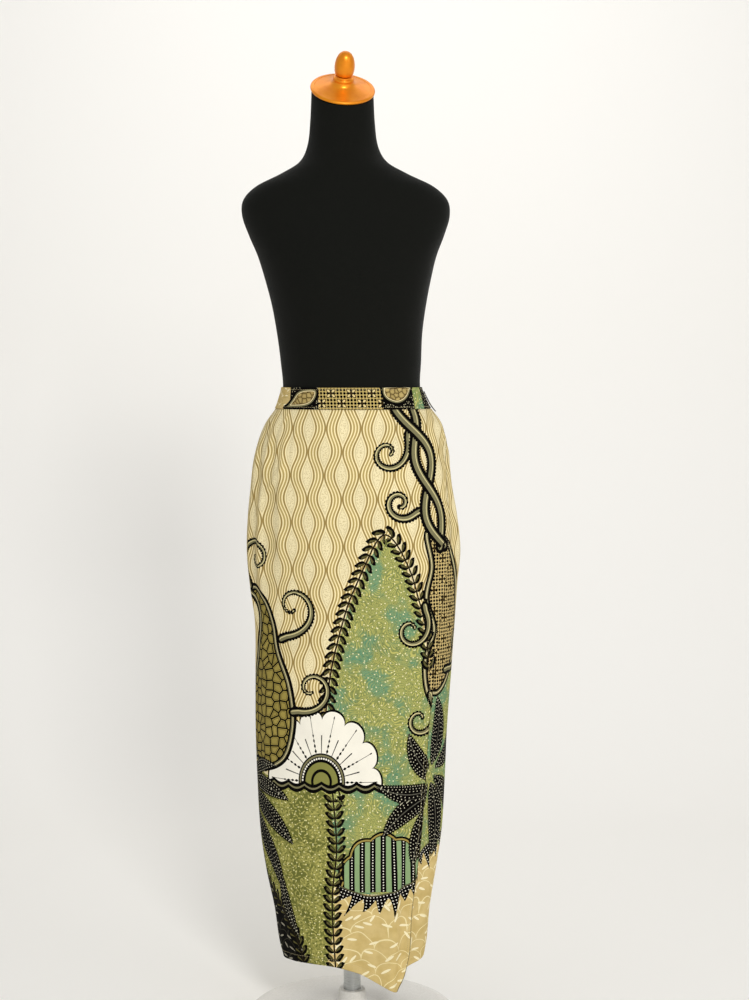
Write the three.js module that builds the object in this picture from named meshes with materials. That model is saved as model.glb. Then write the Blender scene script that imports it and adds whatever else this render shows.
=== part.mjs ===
// Batik wrap skirt on a limbless dress form, in millimetres, +Z up.
// The front faces -Y and the origin is on the floor, under the middle of the stand.
// Angles go round the figure in degrees: 0 at the front, +90 at the wearer's left (+X), 180 at the back.
import * as THREE from 'three';

// ---- driving dimensions ----
const seamGap = 0.3;          // between two pieces that meet
const waistTop = 1040;        // upper edge of the waistband
const bandDepth = 35;
const bandWall = 3;           // folded band with its interlining
const bandSlitAngle = 86;     // where the two ends of the band meet
const clothWall = 1;
const lapGap = 0.9;           // air between the two front layers where they lie close
const hemLevel = 100;         // hem of the back, and the level the front hems are drawn from
const sideSeamAngle = 90;
const lapFrom = -55;          // the upper layer leaves the back's own surface before here
const lapFull = -45;          // and lies a full layer out from here on
const underlapEdgeAngle = -38; // hidden free edge of the layer underneath
const edgeLift = 5;           // the free edge stands this far off at the hem
const formBottom = 735;
const formEdgeRound = 12;
const formEase = 3.5;         // between the form and the cloth over the hips
const bandEase = 0.5;         // between the form and the waistband
const neckTop = 1528;         // middle of the slanting neck cut
const neckCutStart = 1395;    // below this height the rings of the form lie level
const neckForwardTilt = 35;
const neckSideTilt = 6.3;
const capRadius = 53.5;
const poleRadius = 14;
const baseRadius = 170;
const baseHeight = 18;
const bossHeight = 46;
const sidesRound = 60;        // columns of a full turn, shared by the form and every layer
const clothRows = 24;
const turnedSides = 44;

// ---- outline of the figure: the inner face of the cloth up to the waist, the form itself above ----
// Below the form's bottom board only the hanging cloth follows these rows.
// fullness 2 makes a plain oval, and more makes it flatter in front and squarer at the corners.
const figureRows = [
  { z: 60, middle: 2.5, half: 110, front: 76, back: 88, fullness: 2.12 },
  { z: 100, middle: 2.5, half: 114, front: 78, back: 91, fullness: 2.12 },
  { z: 128, middle: 1.6, half: 120.6, front: 81, back: 95, fullness: 2.12 },
  { z: 183, middle: 0, half: 127.2, front: 85, back: 99, fullness: 2.12 },
  { z: 244, middle: -1.6, half: 138.7, front: 90, back: 103, fullness: 2.12 },
  { z: 311, middle: -1.6, half: 148.6, front: 95, back: 107, fullness: 2.12 },
  { z: 392, middle: -1.6, half: 153.6, front: 100, back: 111, fullness: 2.12 },
  { z: 480, middle: -1.2, half: 157, front: 104, back: 115, fullness: 2.12 },
  { z: 570, middle: 2, half: 160.5, front: 107, back: 118, fullness: 2.12 },
  { z: 655, middle: 4.5, half: 164, front: 109, back: 121, fullness: 2.12 },
  { z: 714, middle: 2.5, half: 170.2, front: 111, back: 125, fullness: 2.12 },
  { z: 772, middle: 2.5, half: 175.4, front: 112, back: 129, fullness: 2.12 },
  { z: 831, middle: 0.8, half: 171.5, front: 110, back: 130, fullness: 2.12 },
  { z: 877, middle: -1, half: 165.3, front: 108, back: 126, fullness: 2.12 },
  { z: 920, middle: -1, half: 160.4, front: 105, back: 117, fullness: 2.12 },
  { z: 958, middle: 1, half: 152.4, front: 101, back: 106, fullness: 2.12 },
  { z: 983, middle: 2, half: 142.4, front: 97, back: 97, fullness: 2.12 },
  { z: 1005, middle: 1.4, half: 126.4, front: 92, back: 88, fullness: 2.12 },
  { z: 1022.5, middle: 0.3, half: 118.6, front: 89, back: 85, fullness: 2.12 },
  { z: 1040, middle: -0.8, half: 113.6, front: 87, back: 83, fullness: 2.12 },
  { z: 1085, middle: -2, half: 116, front: 89, back: 84, fullness: 2.2 },
  { z: 1130, middle: -4, half: 120, front: 96, back: 86, fullness: 2.2 },
  { z: 1175, middle: -5, half: 127, front: 107, back: 88, fullness: 2.5 },
  { z: 1215, middle: -6.5, half: 136, front: 112, back: 91, fullness: 2.5 },
  { z: 1255, middle: -8, half: 147, front: 108, back: 95, fullness: 2.5 },
  { z: 1290, middle: -9, half: 161, front: 98, back: 97, fullness: 2.5 },
  { z: 1322, middle: -10, half: 171, front: 87, back: 95, fullness: 2.3 },
  { z: 1348, middle: -11, half: 168, front: 78, back: 90, fullness: 2.3 },
  { z: 1370, middle: -12, half: 146, front: 72, back: 84, fullness: 2.3 },
  { z: 1390, middle: -13, half: 106, front: 66, back: 76, fullness: 2.15 },
  { z: 1409, middle: -14, half: 74, front: 60, back: 66, fullness: 2.15 },
  { z: 1435, middle: -15, half: 59, front: 54, back: 56, fullness: 2.0 },
  { z: 1475, middle: -15.5, half: 53.5, front: 48, back: 49, fullness: 2.0 },
  { z: neckTop, middle: -15.7, half: 51, front: 43, back: 43, fullness: 2.0 },
];

// hem of the upper front layer, whose corner hangs lowest
const frontHemRows = [
  { angle: -90, z: 102 },
  { angle: -60, z: 106 },
  { angle: -30, z: 109 },
  { angle: -12, z: 106 },
  { angle: 5, z: 95 },
  { angle: 20, z: 77 },
  { angle: 32, z: 64 },
  { angle: 46, z: 60 },
  { angle: 90, z: 60 },
];

// hem of the layer underneath, which shows only past the free edge
const underHemRows = [
  { angle: -40, z: 122 },
  { angle: 0, z: 112 },
  { angle: 30, z: 99 },
  { angle: 52, z: 95 },
  { angle: 70, z: 100 },
  { angle: 80, z: 103 },
  { angle: 92, z: 101 },
];

// free edge of the upper front layer, from the waistband down
const freeEdgeRows = [
  { z: 100, angle: 36.5 },
  { z: 130, angle: 43 },
  { z: 160, angle: 45 },
  { z: 240, angle: 45 },
  { z: 340, angle: 46.5 },
  { z: 460, angle: 49.5 },
  { z: 565, angle: 52 },
  { z: 700, angle: 57 },
  { z: 800, angle: 63 },
  { z: 900, angle: 71 },
  { z: 1005, angle: 83 },
];

// largest folds: each runs from (topAngle, top) to (bottomAngle, bottom), and depth is negative inward
const folds = [
  { topAngle: -50, bottomAngle: -47, top: 1000, bottom: 740, spread: 7, depth: -2.4 },
  { topAngle: -64, bottomAngle: -68, top: 975, bottom: 700, spread: 7, depth: -2.2 },
  { topAngle: 74, bottomAngle: 66, top: 985, bottom: 780, spread: 6, depth: -2 },
  { topAngle: -128, bottomAngle: -122, top: 690, bottom: 110, spread: 13, depth: -5 },
  { topAngle: 172, bottomAngle: 178, top: 660, bottom: 105, spread: 15, depth: -6 },
  { topAngle: 140, bottomAngle: 134, top: 600, bottom: 120, spread: 11, depth: -4 },
  { topAngle: -158, bottomAngle: -156, top: 560, bottom: 100, spread: 10, depth: 3 },
];

// trough of the layer underneath, just past the free edge
const underlapFolds = [
  { topAngle: 60, bottomAngle: 58, top: 520, bottom: 90, spread: 12, depth: -8 },
];

const colours = {
  batikSand: 0xd8c48e,
  batikOlive: 0x8b8c4e,
  bandDark: 0x3a3322,
  jersey: 0x121310,
  goldLacquer: 0xe08a1c,
  steel: 0xb9bcc0,
  paleEnamel: 0xe9e6df,
};

// ---- small helpers ----
const radians = THREE.MathUtils.degToRad;
const blend = THREE.MathUtils.lerp;
const ease = THREE.MathUtils.smoothstep;

// a smooth curve through a table: key column, then the columns to read
function curveThrough(rows, key, columns) {
  const values = rows.flatMap((row) => columns.map((column) => row[column]));
  const curve = new THREE.CubicInterpolant(rows.map((row) => row[key]), values, columns.length);
  return (at) => {
    const found = curve.evaluate(at);
    return Object.fromEntries(columns.map((column, k) => [column, found[k]]));
  };
}

const figureAt = curveThrough(figureRows, 'z', ['middle', 'half', 'front', 'back', 'fullness']);
const frontHemAt = curveThrough(frontHemRows, 'angle', ['z']);
const underHemAt = curveThrough(underHemRows, 'angle', ['z']);
const freeEdgeAt = curveThrough(freeEdgeRows, 'z', ['angle']);

// a point on the figure's outline, moved out by offset
function onFigure(angle, z, offset) {
  const { middle, half, front, back, fullness } = figureAt(z);
  const fuller = (part) => Math.sign(part) * Math.abs(part) ** (2 / fullness);
  const across = fuller(Math.sin(radians(angle)));
  const along = fuller(-Math.cos(radians(angle)));
  const depth = along < 0 ? front : back;
  return new THREE.Vector3(middle + (half + offset) * across, (depth + offset) * along, z);
}

// how far the folds in a table push the cloth out at a place
function foldOffset(table, angle, z) {
  let offset = 0;
  for (const fold of table) {
    const down = (fold.top - z) / (fold.top - fold.bottom);
    if (down <= 0 || down >= 1.3) continue;
    const middle = blend(fold.topAngle, fold.bottomAngle, down);
    const away = (THREE.MathUtils.euclideanModulo(angle - middle + 180, 360) - 180) / fold.spread;
    const fade = ease(down, 0, 0.3) * (1 - ease(down, 1, 1.3));
    offset += fold.depth * fade * Math.exp(-away * away);
  }
  return offset;
}

// a closed wall: place(across, down, outer) gives its points, and across goes round counterclockwise
function closedWall(columns, rows, place) {
  const positions = [];
  const indices = [];
  const at = (column, row, outer) => (outer * (rows + 1) + row) * (columns + 1) + column;
  const face = (a, b, c, d) => indices.push(a, b, c, a, c, d);
  for (const outer of [0, 1]) {
    for (let row = 0; row <= rows; row += 1) {
      for (let column = 0; column <= columns; column += 1) {
        positions.push(...place(column / columns, row / rows, outer).toArray());
      }
    }
  }
  for (let row = 0; row < rows; row += 1) {
    for (let column = 0; column < columns; column += 1) {
      const [next, below] = [column + 1, row + 1];
      face(at(column, row, 1), at(column, below, 1), at(next, below, 1), at(next, row, 1));
      face(at(column, row, 0), at(next, row, 0), at(next, below, 0), at(column, below, 0));
    }
    face(at(0, row, 0), at(0, row + 1, 0), at(0, row + 1, 1), at(0, row, 1));
    face(at(columns, row, 1), at(columns, row + 1, 1), at(columns, row + 1, 0), at(columns, row, 0));
  }
  for (let column = 0; column < columns; column += 1) {
    const next = column + 1;
    face(at(column, 0, 0), at(column, 0, 1), at(next, 0, 1), at(next, 0, 0));
    face(at(next, rows, 0), at(next, rows, 1), at(column, rows, 1), at(column, rows, 0));
  }
  const geometry = new THREE.BufferGeometry();
  geometry.setAttribute('position', new THREE.Float32BufferAttribute(positions, 3));
  geometry.setIndex(indices);
  return geometry;
}

// a closed stack of rings, one ring for each height, capped top and bottom
function closedLoft(heights, sides, place) {
  const positions = [];
  const indices = [];
  const ringMiddle = new THREE.Vector3();
  const capMiddles = [];
  heights.forEach((height, ring) => {
    ringMiddle.set(0, 0, 0);
    for (let side = 0; side < sides; side += 1) {
      const point = place((360 * side) / sides, height, ring);
      ringMiddle.addScaledVector(point, 1 / sides);
      positions.push(...point.toArray());
    }
    if (ring === 0 || ring === heights.length - 1) capMiddles.push(ringMiddle.clone());
  });
  const bottomMiddle = positions.length / 3;
  capMiddles.forEach((middle) => positions.push(...middle.toArray()));
  const lastRing = (heights.length - 1) * sides;
  for (let side = 0; side < sides; side += 1) {
    const next = (side + 1) % sides;
    for (let ring = 0; ring < lastRing; ring += sides) {
      indices.push(ring + side, ring + next, ring + sides + next);
      indices.push(ring + side, ring + sides + next, ring + sides + side);
    }
    indices.push(bottomMiddle, next, side);
    indices.push(bottomMiddle + 1, lastRing + side, lastRing + next);
  }
  const geometry = new THREE.BufferGeometry();
  geometry.setAttribute('position', new THREE.Float32BufferAttribute(positions, 3));
  geometry.setIndex(indices);
  return geometry;
}

// a turned piece from a profile of (radius, height) that starts and ends on the axis or closes
function turned(profile, sides = turnedSides) {
  return new THREE.LatheGeometry(profile.map(([radius, height]) => new THREE.Vector2(radius, height)), sides);
}

// the profile's quarter-round from one level to another, as short chords
function roundedCorner(radiusMiddle, heightMiddle, radius, from, to, chords) {
  return Array.from({ length: chords + 1 }, (_, k) => {
    const turn = radians(blend(from, to, k / chords));
    return [radiusMiddle + radius * Math.cos(turn), heightMiddle + radius * Math.sin(turn)];
  });
}

function piece(name, geometry, colour, roughness, metalness = 0) {
  const material = new THREE.MeshStandardMaterial({ color: colour, roughness, metalness });
  const mesh = new THREE.Mesh(geometry, material);
  mesh.name = name;
  return mesh;
}

// ---- the skirt ----
// heights of a panel's rows: closer together under the waistband, where the hip swells
const panelTop = waistTop - bandDepth - seamGap;
const rowHeight = (down) => blend(panelTop, hemLevel, down ** 1.2);
const seamTurn = (z) => THREE.MathUtils.radToDeg(seamGap / 2 / figureAt(z).half);

function panelPoint(angle, z, layer, outer, extraFolds = []) {
  const pushed = foldOffset(folds, angle, z) + foldOffset(extraFolds, angle, z);
  return onFigure(angle, z, layer + pushed + outer * clothWall);
}

function upperFront() {
  return closedWall(27, clothRows, (across, down, outer) => {
    const level = rowHeight(down);
    const angle = blend(-sideSeamAngle + seamTurn(level), freeEdgeAt(level).angle, across);
    const z = level + (frontHemAt(angle).z - hemLevel) * ease(down, 0.45, 1);
    const lift = edgeLift * ease(across, 0.6, 1) * ease(down, 0.5, 1);
    const layer = (clothWall + lapGap) * ease(angle, lapFrom - 30, lapFull) + lift;
    return panelPoint(angle, z, layer, outer);
  });
}

function underFront() {
  return closedWall(21, clothRows, (across, down, outer) => {
    const level = rowHeight(down);
    const angle = blend(underlapEdgeAngle, sideSeamAngle - seamTurn(level), across);
    const z = level + (underHemAt(angle).z - hemLevel) * ease(down, 0.45, 1);
    return panelPoint(angle, z, 0, outer, underlapFolds);
  });
}

function backPanel() {
  return closedWall(30, clothRows, (across, down, outer) => {
    const z = rowHeight(down);
    const turn = seamTurn(z);
    const angle = blend(sideSeamAngle + turn, 360 - sideSeamAngle - turn, across);
    return panelPoint(angle, z, 0, outer);
  });
}

function waistband() {
  const slit = seamTurn(waistTop);
  return closedWall(sidesRound, 2, (across, down, outer) => {
    const angle = blend(bandSlitAngle + slit, bandSlitAngle + 360 - slit, across);
    return onFigure(angle, waistTop - bandDepth * down, outer * bandWall);
  });
}

// pointed end of the tie, lying over the place where the band's ends meet
function tieEnd() {
  const [top, bottom, halfTurn, tipTurn, wall, tieStandOff] = [1032, 1000, 3.2, 0.5, 1.2, 0.7];
  return closedWall(2, 4, (across, down, outer) => {
    const z = blend(top, bottom, down);
    const halfWidth = blend(halfTurn, tipTurn, down);
    const angle = bandSlitAngle + blend(-halfWidth, halfWidth, across);
    return onFigure(angle, z, bandWall + seamGap + tieStandOff + outer * wall);
  });
}

// ---- the dress form ----
const neckSlopeForward = Math.tan(radians(neckForwardTilt));
const neckSlopeSide = Math.tan(radians(neckSideTilt));

function torso() {
  const tableHeights = figureRows.map((row) => row.z).filter((z) => z > formBottom + 2 * formEdgeRound);
  const extraHeights = [899, 939, 971, 994, 1062, 1152, 1235, 1306, 1360, 1381, 1400, 1455, 1500];
  const upper = [...tableHeights, ...extraHeights].sort((a, b) => a - b);
  const heights = [formBottom, formBottom + formEdgeRound / 3, formBottom + formEdgeRound, ...upper];
  const roundIn = [formEdgeRound * 0.6, formEdgeRound * 0.15];
  return closedLoft(heights, sidesRound, (angle, height, ring) => {
    const easeHere = blend(formEase, bandEase, ease(height, waistTop - bandDepth - 15, waistTop - bandDepth));
    const gap = height > waistTop ? bandEase * (1 - ease(height, waistTop, waistTop + 40)) : easeHere;
    const point = onFigure(angle + bandSlitAngle, height, -gap - (roundIn[ring] ?? 0));
    const slant = ease(height, neckCutStart, neckTop);
    point.z += slant * (neckSlopeForward * point.y - neckSlopeSide * (point.x - figureAt(height).middle));
    return point;
  });
}

const neckNormal = new THREE.Vector3(neckSlopeSide, -neckSlopeForward, 1).normalize();
const neckMiddle = new THREE.Vector3(figureAt(neckTop).middle, 0, neckTop);

// a turned piece standing on the slanting neck cut
function onNeck(mesh, height) {
  mesh.quaternion.setFromUnitVectors(new THREE.Vector3(0, 1, 0), neckNormal);
  mesh.position.copy(neckMiddle).addScaledVector(neckNormal, height);
  return mesh;
}

// a turned piece standing upright on the floor's axis
function onFloor(mesh) {
  mesh.rotation.x = Math.PI / 2;
  return mesh;
}

// plate with a low cone and a beaded collar under the knob
const collarTop = 28;
const capProfile = [
  [0, 0],
  ...roundedCorner(capRadius - 2.5, 2.5, 2.5, -90, 70, 6),
  [40, 7.5],
  [28, 10.5],
  [20, 14],
  [16.6, 19],
  ...roundedCorner(14.6, 22.4, 2.8, -40, 60, 4),
  [13.6, collarTop],
  [0, collarTop],
];

// a thumb-shaped knob, fullest below its middle, with a blunt round top
const knobProfile = [
  [0, 0],
  [12.4, 0],
  [14.6, 2.6],
  [16, 7.5],
  [16.6, 14.5],
  [16.2, 21],
  [14.8, 28],
  [12.6, 33.4],
  [9.6, 37.8],
  [6, 40.6],
  [0, 41.6],
];

const flangeTop = formBottom - seamGap;
const sleeveBore = poleRadius + seamGap;
const flangeProfile = [
  [sleeveBore, flangeTop - 40],
  [sleeveBore + 7, flangeTop - 40],
  [sleeveBore + 7, flangeTop - 10],
  [52, flangeTop - 6],
  [52, flangeTop],
  [sleeveBore, flangeTop],
  [sleeveBore, flangeTop - 40],
];

const baseProfile = [
  [0, 0],
  [baseRadius - 2, 0],
  [baseRadius, 2],
  ...roundedCorner(baseRadius - 8, 5, 8, 0, 75, 5),
  [60, baseHeight],
  [30, baseHeight + 3],
  [24, baseHeight + 8],
  [22, bossHeight],
  [sleeveBore, bossHeight],
  [sleeveBore, baseHeight],
  [0, baseHeight],
];

const poleBottom = baseHeight + seamGap;
const poleLength = formBottom - seamGap - poleBottom;
const poleGeometry = new THREE.CylinderGeometry(poleRadius, poleRadius, poleLength, 32);
poleGeometry.translate(0, poleBottom + poleLength / 2, 0);

const skirtOnForm = new THREE.Group();
skirtOnForm.add(
  piece('skirt_upper_front', upperFront(), colours.batikSand, 0.8),
  piece('skirt_under_front', underFront(), colours.batikOlive, 0.8),
  piece('skirt_back', backPanel(), colours.batikSand, 0.8),
  piece('waistband', waistband(), colours.bandDark, 0.8),
  piece('tie_end', tieEnd(), colours.bandDark, 0.8),
  piece('form_torso', torso(), colours.jersey, 0.95),
  onNeck(piece('form_cap', turned(capProfile), colours.goldLacquer, 0.35), seamGap),
  onNeck(piece('form_knob', turned(knobProfile, 36), colours.goldLacquer, 0.35), collarTop + 2 * seamGap),
  onFloor(piece('form_flange', turned(flangeProfile, 32), colours.steel, 0.35, 1)),
  onFloor(piece('form_pole', poleGeometry, colours.steel, 0.3, 1)),
  onFloor(piece('form_base', turned(baseProfile), colours.paleEnamel, 0.4)),
);

export default skirtOnForm;
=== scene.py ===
import math
from functools import partial

import bmesh
import bpy
import numpy as np
from mathutils import Matrix, Vector


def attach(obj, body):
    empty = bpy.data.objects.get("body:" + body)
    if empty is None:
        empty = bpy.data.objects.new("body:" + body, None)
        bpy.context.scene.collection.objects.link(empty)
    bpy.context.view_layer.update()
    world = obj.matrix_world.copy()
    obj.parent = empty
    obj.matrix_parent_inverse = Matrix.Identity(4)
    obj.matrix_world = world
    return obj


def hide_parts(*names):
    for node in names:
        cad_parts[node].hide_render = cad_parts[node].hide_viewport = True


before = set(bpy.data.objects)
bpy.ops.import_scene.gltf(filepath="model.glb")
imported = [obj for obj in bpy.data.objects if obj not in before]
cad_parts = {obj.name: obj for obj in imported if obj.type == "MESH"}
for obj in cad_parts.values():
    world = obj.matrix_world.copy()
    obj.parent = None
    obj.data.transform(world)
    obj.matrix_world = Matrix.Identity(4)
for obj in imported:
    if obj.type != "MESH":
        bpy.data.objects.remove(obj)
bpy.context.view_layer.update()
scene = bpy.context.scene
scene.view_settings.view_transform = "Standard"

# The part stands on the floor with its front to -Y. Sizes are in millimetres and degrees, meshes in
# metres. Angles go round the figure, 0 at the front and +90 at +X.
toMetres = 0.001


# from an sRGB hex value, or the name of a dye
def linearColour(colour):
    hexText = dyes.get(colour, colour)
    parts = [int(hexText[k:k + 2], 16) / 255 for k in (1, 3, 5)]
    return (*[p / 12.92 if p <= 0.04045 else ((p + 0.055) / 1.055) ** 2.4 for p in parts], 1.0)


# links a socket, or sets it to a colour or a number
def setSocket(tree, socket, value):
    if isinstance(value, bpy.types.NodeSocket):
        tree.links.new(value, socket)
    else:
        socket.default_value = linearColour(value) if isinstance(value, str) else value


# adds a node: "VectorMath scale" is a kind and its operation, a Math node goes by its operation alone,
# and a capitalised name is one of the node's sockets
def addNode(tree, kind, *values, out=0, **settings):
    kind, _, operation = (kind if kind[0].isupper() else "Math " + kind).partition(" ")
    node = tree.nodes.new("ShaderNode" + kind)
    if operation:
        node.operation = operation.upper()
    for name in [n for n in settings if n[0].islower()]:
        setattr(node, name, settings.pop(name))
    named = [(node.inputs[name], value) for name, value in settings.items()]
    for socket, value in [*zip(node.inputs, values), *named]:
        setSocket(tree, socket, value)
    return node.outputs[out]


# a material, as a function that adds its nodes and one that sets its shader's sockets and returns it
def newMaterial(name):
    material = bpy.data.materials.new(name)
    material.use_nodes = True
    tree = material.node_tree

    def setShader(settings):
        for socket, value in settings.items():
            setSocket(tree, tree.nodes["Principled BSDF"].inputs[socket], value)
        return material
    return partial(addNode, tree), setShader


# a share t of the way from one value to the next, leaving and arriving at their slopes
def curvedStep(t, a, b, slopeA, slopeB, step=1):
    return ((1 + 2 * t) * (1 - t) ** 2 * a + t * (1 - t) ** 2 * step * slopeA
            + t * t * (3 - 2 * t) * b + t * t * (t - 1) * step * slopeB)


# a smooth curve through rows whose first column is the key
def curveThrough(rows):
    table = np.array(rows, float)
    keys, values = table[:, 0], table[:, 1:]
    before, after = np.r_[0, 0:len(keys) - 1], np.r_[1:len(keys), len(keys) - 1]
    slopes = (values[after] - values[before]) / (keys[after] - keys[before])[:, None]

    def at(key):
        key = np.clip(np.asarray(key, float), keys[0], keys[-1])
        i = np.clip(np.searchsorted(keys, key) - 1, 0, len(keys) - 2)
        step = (keys[i + 1] - keys[i])[..., None]
        t = (key - keys[i])[..., None] / step
        return curvedStep(t, values[i], values[i + 1], slopes[i], slopes[i + 1], step)
    return at


def easeStep(value, low, high):
    t = np.clip((np.asarray(value, float) - low) / (high - low), 0, 1)
    return t * t * (3 - 2 * t)


def blendTo(a, b, share):
    return a + (b - a) * share


# outline of the figure: the cloth's inner face up to the waist, the form above it
# height, middle, half width, front depth, back depth, fullness (2 is a plain oval)
figureRows = [
    (60, 2.5, 110, 76, 88, 2.12),
    (100, 2.5, 114, 78, 91, 2.12),
    (128, 1.6, 120.6, 81, 95, 2.12),
    (183, 0, 127.2, 85, 99, 2.12),
    (244, -1.6, 138.7, 90, 103, 2.12),
    (311, -1.6, 148.6, 95, 107, 2.12),
    (392, -1.6, 153.6, 100, 111, 2.12),
    (480, -1.2, 157, 104, 115, 2.12),
    (570, 2, 160.5, 107, 118, 2.12),
    (655, 4.5, 164, 109, 121, 2.12),
    (714, 2.5, 170.2, 111, 125, 2.12),
    (772, 2.5, 175.4, 112, 129, 2.12),
    (831, 0.8, 171.5, 110, 130, 2.12),
    (877, -1, 165.3, 108, 126, 2.12),
    (920, -1, 160.4, 105, 117, 2.12),
    (958, 1, 152.4, 101, 106, 2.12),
    (983, 2, 142.4, 97, 97, 2.12),
    (1005, 1.4, 126.4, 92, 88, 2.12),
    (1022.5, 0.3, 118.6, 89, 85, 2.12),
    (1040, -0.8, 113.6, 87, 83, 2.12),
    (1085, -2, 116, 89, 84, 2.2),
    (1130, -4, 120, 96, 86, 2.2),
    (1175, -5, 127, 107, 88, 2.5),
    (1215, -6.5, 136, 112, 91, 2.5),
    (1255, -8, 147, 108, 95, 2.5),
    (1290, -9, 161, 98, 97, 2.5),
    (1322, -10, 171, 87, 95, 2.3),
    (1348, -11, 168, 78, 90, 2.3),
    (1370, -12, 146, 72, 84, 2.3),
    (1390, -13, 106, 66, 76, 2.15),
    (1409, -14, 74, 60, 66, 2.15),
    (1435, -15, 59, 54, 56, 2),
    (1475, -15.5, 53.5, 48, 49, 2),
    (1528, -15.7, 51, 43, 43, 2),
]
figureAt = curveThrough(figureRows)


def onFigure(angle, z, offset=0.0):
    middle, half, front, back, fullness = np.moveaxis(figureAt(z), -1, 0)
    turn = np.radians(angle)
    across, along = np.sin(turn), -np.cos(turn)
    across = np.sign(across) * np.abs(across) ** (2 / fullness)
    along = np.sign(along) * np.abs(along) ** (2 / fullness)
    depth = np.where(along < 0, front, back) + offset
    return np.stack([middle + (half + offset) * across, depth * along, z + 0 * across], -1)


# distance along the cloth from the front or back middle, plus towards +X, by height and angle
heightSteps, turnSteps = np.linspace(40, 1045, 202), np.linspace(-90, 90, 181)
alongTables = []
for turns in (turnSteps, 180 - turnSteps):
    ring = onFigure(turns[None, :], heightSteps[:, None], 1.5)
    steps = np.linalg.norm(np.diff(ring, axis=1), axis=2)
    length = np.pad(np.cumsum(steps, axis=1), ((0, 0), (1, 0)))
    alongTables.append(length - length[:, 90:91])
alongTables = np.stack(alongTables)


def alongCloth(angle, z):
    wrapped = (np.asarray(angle, float) + 180) % 360 - 180
    behind = (np.abs(wrapped) > 90).astype(int)
    turn = np.where(behind, np.sign(wrapped) * 180 - wrapped, wrapped)
    row = np.clip((z - heightSteps[0]) / (heightSteps[1] - heightSteps[0]), 0, len(heightSteps) - 1.001)
    column = np.clip(turn + 90, 0, len(turnSteps) - 1.001)
    r, c = row.astype(int), column.astype(int)
    low = blendTo(alongTables[behind, r, c], alongTables[behind, r, c + 1], column - c)
    high = blendTo(alongTables[behind, r + 1, c], alongTables[behind, r + 1, c + 1], column - c)
    return blendTo(low, high, row - r)


skirt = {
    "waistTop": 1040, "bandDepth": 35, "bandWall": 3, "clothWall": 1, "shownWall": 0.9, "lapGap": 0.9,
    "hemLevel": 100, "sideSeam": 90, "seamGap": 0.3, "lapFrom": -85, "lapFull": -45,
    "underlapEdge": -38, "edgeLift": 5, "turnedHem": 13, "turnedEdge": 8, "hemRise": 0.5, "bandSlit": 86,
    # how far inside a turned edge it is sewn, the upper front's width near its free edge, how early the rows
    # bend to the hem, and the angle from which the under front's hem shows
    "sewnIn": 1.5, "frontWidth": 330, "hemPull": 1.2, "shownFrom": 40,
    # beside the hem and the free edge: the last share of the points, and the share of the cloth it covers
    "hemPoints": (0.05, 0.028), "edgePoints": (0.07, 0.04),
}

# hem of the upper front, whose corner hangs lowest, and of the layer underneath: angle, height
frontHemAt = curveThrough([
    (-90, 102), (-60, 106), (-30, 109), (-12, 106), (5, 95), (20, 77), (32, 64), (46, 60), (90, 60),
])
underHemAt = curveThrough([(-40, 122), (0, 112), (30, 99), (52, 95), (70, 100), (80, 103), (92, 101)])

# free edge of the upper front: height, angle
freeEdgeAt = curveThrough([
    (100, 36.5), (130, 43), (160, 45), (240, 45), (340, 46.5), (460, 49.5), (565, 52), (700, 57), (800, 63),
    (900, 71), (1005, 83),
])

# soft folds: angle and height at the top, the same at the bottom, spread in degrees, and depth, which is
# minus where the cloth goes in
foldRows = [
    (-50, 1000, -47, 740, 7, -2.4),
    (-64, 975, -68, 700, 7, -2.2),
    (74, 985, 66, 780, 6, -2.0),
    (-128, 690, -122, 110, 13, -5.0),
    (172, 660, 178, 105, 15, -6.0),
    (140, 600, 134, 120, 11, -4.0),
    (-158, 560, -156, 100, 10, 3.0),
    # finer creases, which the solids leave out
    (-57, 1010, -58, 760, 3.2, 3.8),
    (-43, 1010, -40, 790, 3.2, 2.8),
    (-72, 1012, -70, 900, 2.2, 1.8),
    (-64, 1012, -63, 915, 1.8, 1.7),
    (-50, 1012, -47, 905, 1.7, 1.9),
    (-37, 1011, -34, 925, 1.8, 1.6),
    (-74, 945, -83, 790, 3.4, -1.3),
    (-41, 950, -66, 868, 3.0, -0.9),
    (-34, 935, -62, 842, 3.0, 1.8),
    (-44, 890, -74, 815, 3.2, -0.8),
    (-71, 985, -75, 690, 3.4, 3.2),
    (-20, 1000, -25, 830, 4.0, -0.6),
    (30, 1001, 33, 845, 4.5, -0.7),
    (56, 998, 76, 905, 3.0, -1.1),
    (63, 1000, 84, 930, 3.0, 1.5),
    (80, 960, 76, 760, 3.4, 1.9),
    (87, 930, 84, 720, 3.4, -1.2),
    (-30, 735, 8, 640, 9.0, -0.9),
    (48, 760, 20, 668, 8.0, -0.8),
    (-72, 640, -66, 380, 6.0, -1.4),
    (-52, 600, -58, 420, 6.0, 1.0),
    (-66, 330, -60, 100, 8.0, -2.0),
    (-34, 420, -27, 95, 10.0, 1.8),
    (0, 380, 7, 80, 9.0, -1.5),
    (28, 330, 30, 66, 4.4, 4.0),
    (36, 360, 37, 70, 3.2, -2.6),
    (14, 250, 19, 80, 5.0, -3.0),
    (104, 980, 100, 760, 5.0, -1.8),
    (118, 990, 128, 850, 5.0, -1.2),
    (-106, 970, -101, 770, 5.0, -1.6),
    (-120, 1000, -132, 830, 5.0, 1.0),
    (160, 1000, 152, 900, 4.0, -0.9),
    (-162, 1000, -154, 890, 4.0, -0.9),
    (176, 830, 150, 700, 8.0, -1.0),
    (-176, 800, -148, 690, 8.0, -1.1),
    (112, 620, 108, 300, 8.0, 1.6),
    (-104, 560, -100, 140, 8.0, 1.8),
    (158, 420, 160, 100, 8.0, 2.2),
]
underlapFolds = [(60, 520, 58, 90, 12, -8.0)]


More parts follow.
